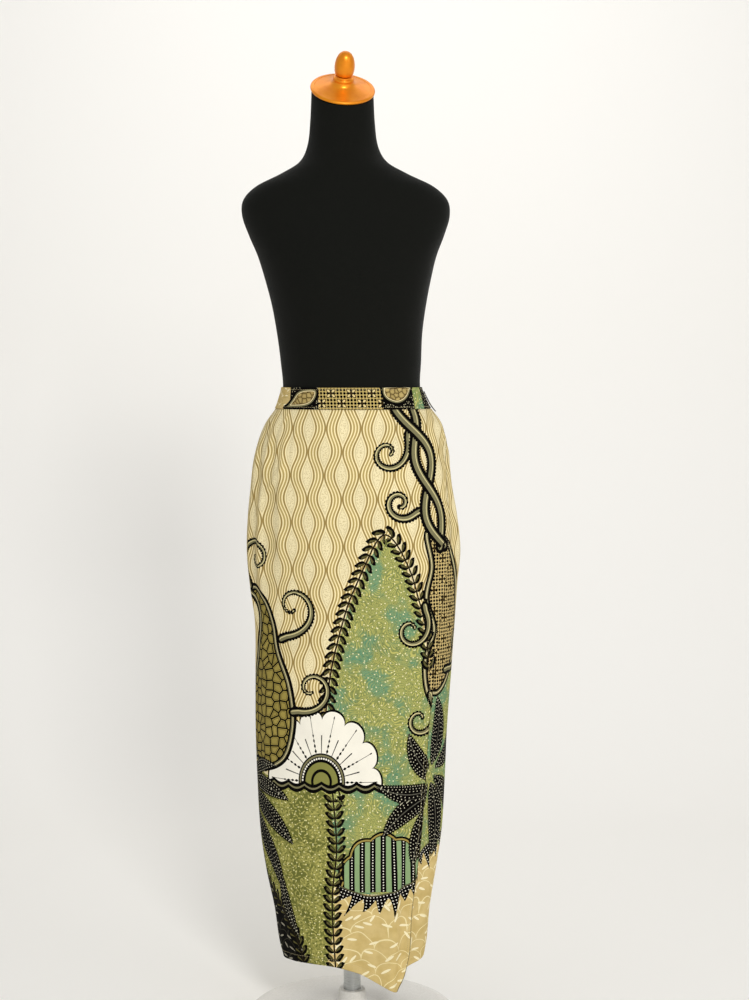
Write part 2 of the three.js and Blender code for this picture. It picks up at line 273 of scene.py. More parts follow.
def foldOffset(rows, angle, z):
    offset = np.zeros(np.broadcast(angle, z).shape)
    for topAngle, top, bottomAngle, bottom, spread, depth in rows:
        down = (top - z) / (top - bottom)
        away = ((angle - blendTo(topAngle, bottomAngle, down) + 180) % 360 - 180) / spread
        fade = easeStep(down, 0, 0.3) * (1 - easeStep(down, 1, 1.3))
        offset += depth * fade * np.exp(-away * away)
    return offset


# a dense line through listed points
def smoothLine(points, closed=False, spacing=4.0):
    p = np.array(points, float)
    before = np.roll(p, 1, 0) if closed else np.vstack([p[0], p[:-1]])
    after = np.roll(p, -1, 0) if closed else np.vstack([p[1:], p[-1]])
    slope = (after - before) / 2
    line = []
    for k in range(len(p) - (not closed)):
        b = (k + 1) % len(p)
        count = max(2, int(np.linalg.norm(p[b] - p[k]) / spacing))
        t = (np.arange(count) / count)[:, None]
        line.append(curvedStep(t, p[k], p[b], slope[k], slope[b]))
    line.append(p[:1] if closed else p[-1:])
    return np.vstack(line)


# distances that count as far off from a line, and from a free edge on a panel that shows none, which keeps
# the painted edge shadow off that panel
farOff, noEdge = 200, 900


# for each place: distance to a line, plus on its left, then the distance along it, and the plain
# distance; places well away from the line just count as far off
def nearLine(places, line, margin=32):
    start, step = line[:-1], np.diff(line, axis=0)
    size = np.linalg.norm(step, axis=1)
    begin = np.cumsum(size) - size
    found = np.full((len(places), 3), float(farOff))
    close = ((places > line.min(0) - margin) & (places < line.max(0) + margin)).all(1)
    for rows in np.array_split(np.flatnonzero(close), max(1, close.sum() // 3000)):
        x, y = (places[rows, None, k] - start[None, :, k] for k in (0, 1))
        share = np.clip((x * step[:, 0] + y * step[:, 1]) / np.maximum(size, 1e-6) ** 2, 0, 1)
        gap = (x - share * step[:, 0]) ** 2 + (y - share * step[:, 1]) ** 2
        row, i = np.arange(len(rows)), gap.argmin(1)
        side = np.sign(step[i, 0] * y[row, i] - step[i, 1] * x[row, i])
        near = np.sqrt(gap[row, i])
        found[rows] = np.stack([side * near, begin[i] + share[row, i] * size[i], near], 1)
    return found


def nearestOf(lines):
    pick = np.argmin([line[:, 2] for line in lines], axis=0)
    return np.stack(lines)[pick, np.arange(len(pick))]


# distance in from a closed outline, minus outside
def insideOf(places, outline):
    inside = np.zeros(len(places), bool)
    x, y = places.T
    for (x0, y0), (x1, y1) in zip(outline[:-1], outline[1:]):
        if y0 != y1:
            inside ^= ((y0 > y) != (y1 > y)) & (x < (x1 - x0) * (y - y0) / (y1 - y0) + x0)
    return np.where(inside, 1, -1) * nearLine(places, outline)[:, 2]


# a tendril that leaves a point and winds into a curl
def tendril(start, centre, radius, turns):
    start, centre = np.array(start, float), np.array(centre, float)
    arm = start - centre
    reach, first = np.linalg.norm(arm), math.atan2(arm[1], arm[0])
    t = np.linspace(0, 1, 48)
    angle = first + 2 * math.pi * turns * t
    size = blendTo(reach, radius, np.sqrt(t))
    return centre + size[:, None] * np.stack([np.cos(angle), np.sin(angle)], 1)


# the spine and outline of a pointed leaf between two points, bent to one side
def leafShape(base, tip, width, bend):
    base, tip = np.array(base, float), np.array(tip, float)
    side = np.array([base[1] - tip[1], tip[0] - base[0]]) / np.linalg.norm(tip - base)
    t = np.linspace(0, 1, 16)[:, None]
    spine = blendTo(base, tip, t) + side * bend * 4 * t * (1 - t)
    half = side * width / 2 * (4 * t * (1 - t)) ** 0.75 * (1.15 - 0.3 * t)
    outline = np.vstack([spine + half, (spine - half)[-2:0:-1]])
    return spine, np.vstack([outline, outline[:1]])


# the print on the flat cloth: distance across from the middle, and height above the floor
printPlan = {
    "fields": {
        "green": [
            [(-16, 372), (-36, 470), (-36, 560), (-20, 650), (8, 724), (50, 800), (88, 744), (112, 660),
             (124, 560), (124, 460), (104, 380), (40, 350)],
            [(-28, 394), (40, 372), (100, 400), (114, 470), (124, 545), (150, 560), (215, 566), (262, 552),
             (262, 300), (140, 266), (100, 240), (40, 226), (-22, 244), (-22, 300)],
        ],
        "olive": [[(-262, 420), (-150, 412), (-60, 408), (-22, 392), (-18, 300), (-26, 200), (-20, 30),
                   (-262, 30)]],
        "beige": [[(-20, 30), (-26, 190), (-20, 244), (40, 222), (100, 240), (140, 266), (262, 316),
                   (262, 30)]],
        "night": [[(-262, 290), (-200, 272), (-150, 226), (-108, 178), (-80, 124), (-70, 30), (-262, 30)]],
        "paisley": [[(-150, 420), (-106, 442), (-90, 500), (-100, 564), (-124, 618), (-134, 662),
                     (-152, 700), (-184, 720), (-212, 706), (-190, 696), (-178, 664), (-188, 604),
                     (-208, 544), (-212, 480), (-190, 436)]],
        "check": [[(128, 806), (166, 780), (196, 716), (210, 640), (196, 572), (160, 530), (132, 548),
                   (124, 600), (140, 650), (126, 700), (136, 750)]],
    },
    "garlands": [
        [(-16, 388), (-38, 470), (-38, 560), (-22, 652), (6, 728), (50, 806), (92, 748), (116, 664),
         (126, 600)],
        [(-28, 392), (-22, 300), (-30, 200), (-24, 20)],
        [(-262, 282), (-205, 264), (-154, 222), (-112, 176), (-84, 122), (-74, 20)],
    ],
    # start, middle of the curl, its last radius, turns
    "tendrils": [
        ((-122, 636), (-100, 690), 7, 1.15), ((-196, 716), (-172, 764), 7, -1.25),
        ((-96, 520), (-66, 560), 7, 1.15), ((118, 690), (92, 652), 7, -1.1),
        ((92, 968), (58, 936), 6, -1.2), ((112, 842), (78, 856), 6, -1.2), ((178, 560), (212, 600), 7, 1.1),
        ((132, 546), (112, 506), 7, -1.1), ((-150, 424), (-190, 396), 8, 1.1),
    ],
    # base, tip, width, bend
    "leaves": [
        ((-206, 396), (-100, 376), 30, 8), ((-208, 380), (-92, 304), 34, 10),
        ((-210, 358), (-112, 222), 36, 12), ((-118, 256), (-86, 148), 21, -8),
        ((-216, 336), (-178, 206), 32, 8), ((-204, 404), (-124, 430), 24, 8),
        ((150, 396), (40, 404), 33, 14), ((148, 384), (50, 320), 36, -12),
        ((152, 376), (100, 268), 35, -10), ((160, 378), (162, 252), 34, 10), ((166, 388), (222, 290), 34, 12),
        ((154, 400), (94, 486), 33, 12), ((160, 404), (160, 520), 34, -10), ((168, 398), (230, 480), 32, -12),
    ],
    "fringe": [(-22, 240), (6, 228), (40, 221), (100, 238), (140, 264), (200, 292), (262, 314)],
    # the middle of each
    "lotus": (-46, 410),
    "shell": (52, 246),
    # crossing is the length in which a strand goes once over the other and once under it
    "vine": {"top": (84, 1010), "bottom": (160, 786), "sway": 15, "turns": 2.6, "width": 9.2,
             "crossing": 172},
}


# one strand of the twisted vine, to the left or right of its middle first
def vineStrand(side):
    vine = printPlan["vine"]
    t = np.linspace(0, 1, 90)[:, None]
    middle = blendTo(np.array(vine["top"], float), np.array(vine["bottom"], float), t)
    sway = side * vine["sway"] * np.cos(math.pi * vine["turns"] * t) + 8 * np.sin(5 * t)
    return middle + sway * np.array([1, 0.25])


# what the dyes read at each point of the cloth, in millimetres
def printFields(places):
    field = {name: np.max([insideOf(places, smoothLine(points, True)) for points in outlines], axis=0)
             for name, outlines in printPlan["fields"].items()}
    spine, edge = np.zeros((len(places), 3)), np.full(len(places), -float(farOff))
    for leaf in printPlan["leaves"]:
        middle, outline = leafShape(*leaf)
        inside = insideOf(places, outline)
        nearer = inside > edge
        edge[nearer] = inside[nearer]
        spine[nearer] = nearLine(places, middle)[nearer]
    return {
        "grounds": np.stack([field["green"], field["olive"], field["beige"]], 1),
        "bodies": np.stack([field["night"], field["paisley"], field["check"]], 1),
        "garland": nearestOf([nearLine(places, smoothLine(line)) for line in printPlan["garlands"]]),
        "tendril": nearestOf([nearLine(places, tendril(*row)) for row in printPlan["tendrils"]]),
        "leaf": np.stack([edge, spine[:, 0], spine[:, 1]], 1),
        "fringe": nearLine(places, smoothLine(printPlan["fringe"]), margin=60),
        "vineLeft": nearLine(places, vineStrand(-1)),
        "vineRight": nearLine(places, vineStrand(1)),
        **{name: np.column_stack([places - printPlan[name], 0 * places[:, 0]])
           for name in ("lotus", "shell")},
    }


def storeFields(piece, fields):
    for name, values in fields.items():
        attribute = piece.data.attributes.new(name, "FLOAT_VECTOR", "POINT")
        attribute.data.foreach_set("vector", values.astype(np.float32).ravel())


def newPiece(name, bm):
    mesh = bpy.data.meshes.new(name)
    bm.to_mesh(mesh)
    bm.free()
    piece = bpy.data.objects.new(name, mesh)
    scene.collection.objects.link(piece)
    return piece


def smoothFaces(bm):
    for face in bm.faces:
        face.smooth = True


# closes the seam where a grid's sides meet, and its open ends
def closeSeams(bm):
    bmesh.ops.remove_doubles(bm, verts=bm.verts, dist=1e-6)
    bmesh.ops.holes_fill(bm, edges=bm.edges, sides=0)


# thickens a sheet inwards
def giveWall(piece, thickness):
    wall = piece.modifiers.new("wall", "SOLIDIFY")
    wall.thickness, wall.offset = thickness * toMetres, -1


# a grid laid on the figure: place(across, down) gives each point's angle, height and offset
def layGrid(columns, rows, place):
    bm = bmesh.new()
    bmesh.ops.create_grid(bm, x_segments=columns, y_segments=rows, size=0.5)
    flat = np.array([vert.co[:2] for vert in bm.verts])
    angle, z, offset = place(0.5 + flat[:, 0], 0.5 - flat[:, 1])
    for vert, point in zip(bm.verts, onFigure(angle, z, offset) * toMetres):
        vert.co = point
    places = np.stack([alongCloth(angle, z), z + 0 * angle], 1)
    uv = bm.loops.layers.uv.new("cloth")
    bm.verts.index_update()
    for loop in [loop for face in bm.faces for loop in face.loops]:
        loop[uv].uv = places[loop.vert.index] * toMetres
    smoothFaces(bm)
    return bm, places


panelTop = skirt["waistTop"] - skirt["bandDepth"] - skirt["seamGap"]
panelDrop = panelTop - skirt["hemLevel"]
layerStep = skirt["clothWall"] + skirt["lapGap"]


def seamTurn(z):
    return np.degrees(skirt["seamGap"] / 2 / figureAt(z)[..., 1])


# the last part of a row or column of points lies closer together, where an edge is turned in
def closerAtEnd(share, part, width):
    return np.where(share < 1 - part, share / (1 - part) * (1 - width), 1 - (1 - share) / part * width)


# the raised band of a turned edge, with the groove where it is sewn
def turnedRidge(fromEdge, depth):
    raised = 1 - easeStep(fromEdge, depth, depth + 2.5)
    return skirt["hemRise"] * raised - 0.45 * np.exp(-((fromEdge - depth + skirt["sewnIn"]) / 1.4) ** 2)


# a panel's rows of points: the height of each over a level hem, how near the hem it is, and the hem's ridge
def panelRows(down):
    down = closerAtEnd(down, *skirt["hemPoints"])
    ridge = turnedRidge((1 - down) * panelDrop, skirt["turnedHem"])
    return blendTo(panelTop, skirt["hemLevel"], down), down ** (1 / skirt["hemPull"]), ridge


# the rows bend towards the hem's own line in their lower half
def bentToHem(level, late, hem):
    return level + (hem[..., 0] - skirt["hemLevel"]) * easeStep(late, 0.45, 1)


def placeUpperFront(across, down):
    across = closerAtEnd(across, *skirt["edgePoints"])
    level, late, hemRidge = panelRows(down)
    angle = blendTo(-skirt["sideSeam"] + seamTurn(level), freeEdgeAt(level)[..., 0], across)
    z = bentToHem(level, late, frontHemAt(angle))
    lift = skirt["edgeLift"] * easeStep(across, 0.6, 1) * easeStep(late, 0.5, 1)
    layer = layerStep * easeStep(angle, skirt["lapFrom"], skirt["lapFull"]) + lift
    ridge = np.maximum(hemRidge, turnedRidge((1 - across) * skirt["frontWidth"], skirt["turnedEdge"]))
    return angle, z, layer + skirt["clothWall"] + foldOffset(foldRows, angle, z) + ridge


def placeUnderFront(across, down):
    level, late, ridge = panelRows(down)
    angle = blendTo(skirt["underlapEdge"], skirt["sideSeam"] - seamTurn(level), across)
    z = bentToHem(level, late, underHemAt(angle))
    folds = foldOffset(foldRows, angle, z) + foldOffset(underlapFolds, angle, z)
    return angle, z, skirt["clothWall"] + folds + ridge * (angle > skirt["shownFrom"])


def placeBack(across, down):
    z, _, ridge = panelRows(down)
    turn = seamTurn(z)
    angle = blendTo(skirt["sideSeam"] + turn, 360 - skirt["sideSeam"] - turn, across)
    return angle, z, skirt["clothWall"] + foldOffset(foldRows, angle, z) + ridge


# each panel's points across and down, and the part of the printed cloth that it is cut from: turned over
# or not, and shifted across and down
panelCuts = {
    "upperFront": (placeUpperFront, 152, 296, 1, 0, 0),
    "underFront": (placeUnderFront, 110, 250, 1, -9, 21),
    "backPanel": (placeBack, 158, 284, -1, 18, -30),
}


def clothPanel(name, place, columns, rows, mirrored, shift, drop):
    bm, places = layGrid(columns, rows, place)
    piece = newPiece(name, bm)
    printed = places * (mirrored, 1) - (shift, drop)
    along = places[:, 0].reshape(rows + 1, columns + 1)
    # distance along the cloth to the upper front's free edge, where the painted shadow line goes; the other
    # panels are far off it
    toEdge = (along[:, -1:] - along).ravel() + (0 if place == placeUpperFront else noEdge)
    storeFields(piece, printFields(printed) | {"edge": np.stack([toEdge] * 3, 1)})
    loops = np.empty(len(piece.data.loops), np.int32)
    piece.data.loops.foreach_get("vertex_index", loops)
    flat = (printed[loops] * toMetres).astype(np.float32)
    piece.data.uv_layers["cloth"].uv.foreach_set("vector", flat.ravel())
    giveWall(piece, skirt["shownWall"])
    return piece


panels = {name: clothPanel(name, *cut) for name, cut in panelCuts.items()}
print("cloth panels laid")


bandPlan = {
    "cornerRound": 1.3, "inset": 0.1, "stitchIn": 3.4, "pucker": 0.16, "puckerPitch": 9.0, "meanRadius": 115,
    "paisleys": [
        [(-124, 1007), (-98, 1006.5), (-74, 1009), (-60, 1018), (-54, 1032), (-60, 1039), (-80, 1038.5),
         (-94, 1033), (-104, 1022), (-114, 1013)],
        [(49, 1036), (52, 1044), (104, 1044), (102, 1030), (90, 1018), (74, 1013), (58, 1018), (50, 1027)],
    ],
}


# a strip folded in two round the waist and sewn shut all round, so a closed flat tube;
# section points are distances out and down from its top
def waistband():
    high = skirt["bandWall"] - bandPlan["inset"] - bandPlan["cornerRound"]
    low = bandPlan["inset"] + bandPlan["cornerRound"]
    depth, stitchIn = skirt["bandDepth"], bandPlan["stitchIn"]
    section = []
    corners = ((high, low, -90), (high, depth - low, 0), (low, depth - low, 90), (low, low, 180))
    for out, drop, first in corners:
        turn = np.radians(first + np.linspace(0, 90, 5))[:, None]
        corner = (out, drop) + bandPlan["cornerRound"] * np.hstack([np.cos(turn), np.sin(turn)])
        section.append(corner)
        if first == -90:
            section.append(np.linspace((corner[-1][0], low + 1), (corner[-1][0], depth - low - 1), 17))
    section = np.vstack([*section, section[0][:1]])
    rows = len(section) - 1

    def place(across, down):
        slit = seamTurn(skirt["waistTop"])
        angle = skirt["bandSlit"] + blendTo(slit, 360 - slit, across)
        out, drop = section[np.rint(down * rows).astype(int)].T
        run = np.radians(angle) * bandPlan["meanRadius"]
        wave = bandPlan["pucker"] * np.sin(2 * math.pi * run / bandPlan["puckerPitch"] + 2 * np.sin(run / 37))
        sewn = np.exp(-((drop - depth + stitchIn) / 1.8) ** 2) + np.exp(-((drop - stitchIn) / 1.5) ** 2)
        return angle, skirt["waistTop"] - drop, out + (out > high) * sewn * (wave - 0.3)

    bm, places = layGrid(300, rows, place)
    piece = newPiece("waistband_cloth", bm)
    paisleys = [insideOf(places, smoothLine(points, True, 1.0)) for points in bandPlan["paisleys"]]
    storeFields(piece, {"paisley": np.stack([*paisleys, 0 * places[:, 0]], 1)})
    bm = bmesh.new()
    bm.from_mesh(piece.data)
    closeSeams(bm)
    bmesh.ops.recalc_face_normals(bm, faces=bm.faces)
    bm.to_mesh(piece.data)
    bm.free()
    return piece


# flat is the cut of what shows, in metres, and flatShare how much of that oblong the point fills
tieShape = {"top": 1033, "bottom": 1000.5, "halfTurn": 3.3, "tipTurn": 0.15, "standOff": 0.9, "wall": 1.1,
            "tipOut": 2.2, "flat": (0.0135, 0.033), "flatShare": 0.75}


# the pointed end of the tie, over the place where the band's ends meet
def tieEnd():
    def place(across, down):
        z = blendTo(tieShape["top"], tieShape["bottom"], down)
        halfTurn = blendTo(tieShape["tipTurn"], tieShape["halfTurn"], np.sqrt(1 - down ** 1.6))
        out = skirt["bandWall"] + tieShape["standOff"] + tieShape["wall"] + tieShape["tipOut"] * down ** 2
        ripple = 0.35 * np.sin(5 * across + 7 * down)
        return skirt["bandSlit"] + (2 * across - 1) * halfTurn, z, out + ripple * down

    bm, places = layGrid(12, 30, place)
    piece = newPiece("tie_point", bm)
    storeFields(piece, {"paisley": np.full((len(places), 3), -float(farOff))})
    giveWall(piece, tieShape["wall"])
    return piece


# small stitches along a path of points, with a short gap after each
stitchShape = {"pitch": 3.4, "length": 2.4, "width": 0.55, "proud": 0.12}


def stitchRow(bm, path):
    run = np.concatenate([[0], np.cumsum(np.linalg.norm(np.diff(path, axis=0), axis=1))])
    count = int(run[-1] / stitchShape["pitch"])
    for middle in (np.arange(count) + 0.5) * stitchShape["pitch"]:
        ends = [Vector([np.interp(middle + half, run, path[:, k]) for k in range(3)]) for half in (-1, 1)]
        turn = (ends[1] - ends[0]).to_track_quat("X", "Z").to_matrix().to_4x4()
        size = Matrix.Diagonal((stitchShape["length"], stitchShape["width"], stitchShape["width"], 1))
        bmesh.ops.create_icosphere(bm, subdivisions=1, radius=0.5 * toMetres, matrix=(
            Matrix.Translation((ends[0] + ends[1]) / 2 * toMetres) @ turn @ size))


# paths run on a panel's own shape: a share across and a share down, each one number or a range
def panelPath(place, across, down):
    across, down = np.broadcast_arrays(np.asarray(across, float), np.asarray(down, float))
    angle, z, offset = place(across, down)
    return onFigure(angle, z, offset + stitchShape["proud"])


def bandPath(drop):
    slit = seamTurn(skirt["waistTop"])
    angle = skirt["bandSlit"] + np.linspace(slit + 1, 359 - slit, 500)
    return onFigure(angle, np.full(500, skirt["waistTop"] - drop), skirt["bandWall"] - 0.3)


def sewStitches(name, paths):
    bm = bmesh.new()
    for path in paths:
        stitchRow(bm, path)
    smoothFaces(bm)
    return newPiece(name, bm)


# the row or column of points where a turned edge is sewn, as a share
def sewnAt(points, turned, size):
    part, width = points
    return 1 - part / width * (turned - skirt["sewnIn"]) / size


# seen is the part of the under front's hem that the upper front leaves bare
alongRow, seen = np.linspace(0.004, 0.996, 700), np.linspace(0.64, 0.996, 400)
hemShare = sewnAt(skirt["hemPoints"], skirt["turnedHem"], panelDrop)
edgeShare = sewnAt(skirt["edgePoints"], skirt["turnedEdge"], skirt["frontWidth"])
pieces = {
    "waistband": waistband(),
    "tieEnd": tieEnd(),
    "bandStitches": sewStitches("band_stitches", [bandPath(bandPlan["stitchIn"]),
                                                  bandPath(skirt["bandDepth"] - bandPlan["stitchIn"])]),
    "upperStitches": sewStitches("upper_stitches", [panelPath(placeUpperFront, alongRow, hemShare),
                                                    panelPath(placeUpperFront, edgeShare, alongRow)]),
    "underStitches": sewStitches("under_stitches", [panelPath(placeUnderFront, seen, hemShare)]),
    "backStitches": sewStitches("back_stitches", [panelPath(placeBack, alongRow, hemShare)]),
}
print("waistband, tie and stitches made")

form = {
    "bottom": 735, "edgeRound": 12, "ease": 3.5, "bandEase": 0.5, "neckTop": 1528, "neckCut": 1395,
    "neckForward": 35, "neckSide": 6.3, "gap": 0.3, "collarTop": 28,
    "poleRadius": 14, "sleeveRadius": 21, "sleeveDepth": 40, "baseHeight": 18, "bossHeight": 46,
}
slopeForward, slopeSide = (math.tan(math.radians(form[k])) for k in ("neckForward", "neckSide"))


# the torso: rings from the rounded bottom up to the slanting cut of the neck
def torso():
    def place(across, down):
        z = blendTo(form["neckTop"], form["bottom"], down ** 1.05)
        fromBottom = np.clip((z - form["bottom"]) / form["edgeRound"], 0, 1)
        rounding = form["edgeRound"] * (1 - np.sqrt(1 - (1 - fromBottom) ** 2))
        bandFoot = skirt["waistTop"] - skirt["bandDepth"]
        ease = blendTo(form["ease"], form["bandEase"], easeStep(z, bandFoot - 15, bandFoot))
        ease = ease * (1 - easeStep(z, skirt["waistTop"], skirt["waistTop"] + 40))
        return 360 * across, z, -ease - rounding

    bm, _ = layGrid(180, 300, place)
    middle = float(figureAt(form["neckTop"])[0]) * toMetres
    for vert in bm.verts:
        slant = float(easeStep(vert.co.z / toMetres, form["neckCut"], form["neckTop"]))
        vert.co.z += slant * (slopeForward * vert.co.y - slopeSide * (vert.co.x - middle))
    closeSeams(bm)
    return newPiece("dress_form_torso", bm)


# a piece turned about an upright axis from a profile of radius and height
def turnedPiece(name, profile, place=Matrix(), steps=96, sharp=38):
    bm = bmesh.new()
    verts = [bm.verts.new((radius * toMetres, 0, height * toMetres)) for radius, height in profile]
    edges = [bm.edges.new(pair) for pair in zip(verts[:-1], verts[1:])]
    bmesh.ops.spin(bm, geom=verts + edges, axis=(0, 0, 1), cent=(0, 0, 0), angle=2 * math.pi, steps=steps,
                   use_merge=True)
    bmesh.ops.remove_doubles(bm, verts=bm.verts, dist=1e-6)
    bmesh.ops.recalc_face_normals(bm, faces=bm.faces)
    bmesh.ops.transform(bm, matrix=place, verts=bm.verts)
    smoothFaces(bm)
    piece = newPiece(name, bm)
    piece.data.set_sharp_from_angle(angle=math.radians(sharp))
    return piece


neckNormal = Vector((slopeSide, -slopeForward, 1)).normalized()
neckMiddle = Vector((float(figureAt(form["neckTop"])[0]), 0, form["neckTop"]))


def onNeck(height):
    return (Matrix.Translation((neckMiddle + neckNormal * height) * toMetres)
            @ neckNormal.to_track_quat("Z", "Y").to_matrix().to_4x4())


# plate with a rounded lip, a low cone and a beaded collar
capProfile = np.vstack([
    [(0, 0), (47, 0)],
    smoothLine([(51, 0), (53.2, 1.5), (53.4, 4), (51.6, 5.6), (47, 6.4)], spacing=0.5),
    smoothLine([(46.4, 5.9), (40, 7.3), (28, 10.4), (20, 14), (16.8, 19)], spacing=1.2),
    smoothLine([(16.6, 19.8), (17.4, 22.3), (16.4, 24.7), (14, 25.9), (13.6, form["collarTop"])],
               spacing=0.5),
    [(0, form["collarTop"])],
])
# thumb-shaped, fullest below its middle, with a blunt round top
knobProfile = smoothLine([(0, 0), (9, 0.1), (12.2, 0.8), (14.6, 3), (16, 7.5), (16.6, 14.5), (16.2, 21),
                          (14.8, 28), (12.6, 33.4), (9.6, 37.8), (5.6, 40.8), (2.4, 41.5), (0, 41.6)],
                         spacing=1.2)
knobProfile[0, 0] = knobProfile[-1, 0] = 0
bore, flangeTop = form["poleRadius"] + form["gap"], form["bottom"] - form["gap"]
sleeveFoot = flangeTop - form["sleeveDepth"]
flangeProfile = [(bore, sleeveFoot), (20.3, sleeveFoot), (form["sleeveRadius"], sleeveFoot + 1),
                 (form["sleeveRadius"], flangeTop - 11), (24, flangeTop - 8), (50.5, flangeTop - 6),
                 (51.8, flangeTop - 5), (51.8, flangeTop - 0.6), (51.4, flangeTop - 0.2),
                 (bore, flangeTop - 0.2), (bore, sleeveFoot)]
poleFoot = form["baseHeight"] + form["gap"]
poleProfile = [(0, poleFoot), (13.6, poleFoot), (form["poleRadius"], poleFoot + 0.5),
               (form["poleRadius"], flangeTop - 0.6), (13.6, flangeTop - 0.1), (0, flangeTop - 0.1)]
baseProfile = np.vstack([
    [(0, 0), (167.5, 0)],
    smoothLine([(168.5, 0.2), (170, 2.2), (169.4, 7), (166, 11), (158, 13.6)], spacing=1),
    smoothLine([(150, 14.6), (110, 16.6), (60, 18), (34, 19.8), (26, 24)], spacing=4),
    smoothLine([(23.6, 30), (22.6, 38), (22.4, 43), (21.4, 45.4), (18.6, 46)], spacing=1),
    [(bore, form["bossHeight"]), (bore, form["baseHeight"]), (0, form["baseHeight"])],
])
pieces |= {
    "torso": torso(),
    "cap": turnedPiece("neck_cap", capProfile, onNeck(form["gap"])),
    "knob": turnedPiece("neck_knob", knobProfile, onNeck(form["collarTop"] + 2 * form["gap"])),
    "flange": turnedPiece("pole_flange", flangeProfile),
    "pole": turnedPiece("pole", poleProfile, steps=64),
    "base": turnedPiece("base_disc", baseProfile, steps=128),
}
print("dress form made")

# dyes of the print: wax-pale creams, tea browns, near-black and greens
dyes = {
    "cream": "#EBDDB1", "pale": "#F8E6B0", "tan": "#B39C60", "white": "#F3EEDF", "black": "#050403",
    "teal": "#668E6C", "gold": "#8E9252", "sprig": "#BDB868", "dot": "#E9E3B2", "olive": "#858446",
    "oliveDark": "#565A2B", "khaki": "#7B7655", "beige": "#D4BC80", "stroke": "#F4E8BF", "brown": "#4C3A1E",
    "green": "#8CA676", "grey": "#57554A", "sand": "#C9B276", "moss": "#57522F",
}


# lays dyes over each other, each through its own mask
def layDyes(add, under, layers):
    for mask, dye in layers:
        under = add("MixRGB", mask, under, dye)
    return under


# the same layers, but only where another mask is 1
def onlyWhere(add, where, layers):
    return [(add("multiply", where, mask), dye) for mask, dye in layers]


def axes(add, vector):
    return list(add("SeparateXYZ", vector).node.outputs)


def readField(add, name):
    return axes(add, add("Attribute", attribute_name=name, out="Vector"))


# a mask that is 1 where the value lies between two limits
def stripe(add, value, low, high):
    return add("compare", value, (low + high) / 2, (high - low) / 2)


# a wave that comes again at every pitch
def ripples(add, value, pitch, shape="sine"):
    return add(shape, add("multiply", value, 2 * math.pi / pitch))


def distance(add, x, y):
    return add("VectorMath length", add("CombineXYZ", x, y), out="Value")


# under 1 inside an oval
def within(add, x, y, width, length):
    return distance(add, add("divide", x, width / 2), add("divide", y, length / 2))


def dotRow(add, along, across, at, pitch, radius):
    step = add("wrap", along, pitch / 2, -pitch / 2)
    return add("less_than", distance(add, step, add("subtract", across, at)), radius)


# rice-grain marks, or plain dots, one in each of many irregular cells and each turned its own way
def grains(add, cloth, size, length, width, turn=6.3):
    middle = add("TexVoronoi", cloth, out="Position", voronoi_dimensions="2D", Scale=1 / size, Randomness=0.9)
    turned = add("VectorRotate", add("VectorMath subtract", cloth, middle), rotation_type="Z_AXIS",
                 Angle=add("multiply", middle.node.outputs["Color"], turn))
    x, y, _ = axes(add, turned)
    return add("less_than", within(add, x, y, width, length), 1.0)


lattice = {"spacing": 28.0, "period": 75, "sway": 5.2, "lines": 5.0, "reach": 9.9}


# upright wavy bands of fine lines that meet and part, with stippled spindles between them
def latticeGround(add, s, z):
    step = lattice["spacing"]
    local = add("wrap", s, step / 2, -step / 2)
    parity = ripples(add, add("round", add("divide", s, step)), 2, "cosine")
    wave = ripples(add, z, lattice["period"], "cosine")
    x = add("subtract", local, add("multiply", add("multiply", parity, wave), lattice["sway"]))
    line = ripples(add, x, lattice["lines"], "cosine")
    wide = add("absolute", x)
    inLines = add("less_than", wide, lattice["reach"])
    dark = add("multiply", inLines, add("MapRange", line, 0.5, -0.1))
    light = add("multiply", inLines, add("MapRange", line, 0.4, 0.85))
    outline = add("multiply", stripe(add, wide, 6.2, 8.9), 0.45)
    ring = add("multiply", stripe(add, wide, 11.2, 12.6), 0.45)
    inner = add("MapRange", wide, 11.5, 14.5, 0.0, 0.5)
    stipple = add("multiply", grains(add, add("CombineXYZ", s, z), 3.1, 1.9, 1.6), inner)
    return layDyes(add, "cream", [
        *onlyWhere(add, add("subtract", 1.0, inLines), [(stipple, "tan"), (ring, "tan")]),
        (light, "pale"), (dark, "tan"), (add("multiply", outline, dark), "#755C2C")])


# the same cells elsewhere on the cloth, so that marks over each other don't line up
def elsewhere(add, cloth):
    return add("VectorMath add", cloth, (431, 277, 0))


# seed-like marks and dots on a mottled ground
def speckledGround(add, cloth, ground, shade, sprig, dot, grain=(6.0, 5.4, 2.0)):
    mottle = add("TexNoise", cloth, Scale=0.03, Detail=3.0, noise_dimensions="2D")
    aside = elsewhere(add, cloth)
    return layDyes(add, ground, [
        (add("MapRange", mottle, 0.46, 0.56), shade), (grains(add, aside, *grain), shade),
        (add("multiply", grains(add, cloth, *grain), 0.85), sprig), (grains(add, aside, 9.0, 2.1, 1.9), dot)])


